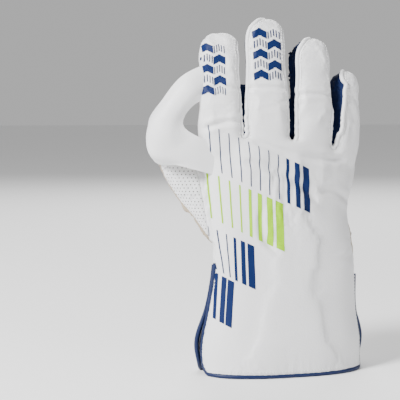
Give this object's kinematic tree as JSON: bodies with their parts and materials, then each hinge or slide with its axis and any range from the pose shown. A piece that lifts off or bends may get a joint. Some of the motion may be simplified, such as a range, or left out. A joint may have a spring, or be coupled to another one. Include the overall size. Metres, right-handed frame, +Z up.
{
  "type": "wicketkeeping glove",
  "caption": "Padded white leather sports glove with a pimpled cream rubber palm, navy finger sides, a web round the thumb and a flared, navy-edged gauntlet cuff.",
  "frame": {"origin": "middle of the foot of the glove's box, on the surface that the cuff stands on", "axes": "+Z up from the cuff to the fingertips, -Y the back of the hand, +Y the palm, -X the thumb side"},
  "size_m": [0.1988, 0.0868, 0.325],
  "materials": {
    "white_leather": "soft white leather with a fine grain, printed bars on the back",
    "cream_rubber": "matt cream rubber with rows of raised pimples",
    "navy_gusset": "matt navy suede",
    "navy_piping": "folded navy binding, slightly glossy",
    "cream_lining": "matt cream cotton and rubber lining"
  },
  "bodies": {
    "root": {"leather_back": "white_leather", "palm_facing": "cream_rubber", "gusset_index_middle": "navy_gusset", "gusset_middle_ring": "navy_gusset", "gusset_ring_little": "navy_gusset", "middle_welt": "white_leather", "ring_welt": "white_leather", "little_welt": "white_leather", "thumb_back": "white_leather", "thumb_vent_panel": "white_leather", "thumb_facing": "cream_rubber", "wrist_panel": "white_leather", "cuff_palm_panel": "white_leather", "web_strap": "white_leather", "web_lining": "cream_lining", "back_cuff_piping": "navy_piping", "palm_cuff_piping": "navy_piping"}
  },
  "joints": []
}
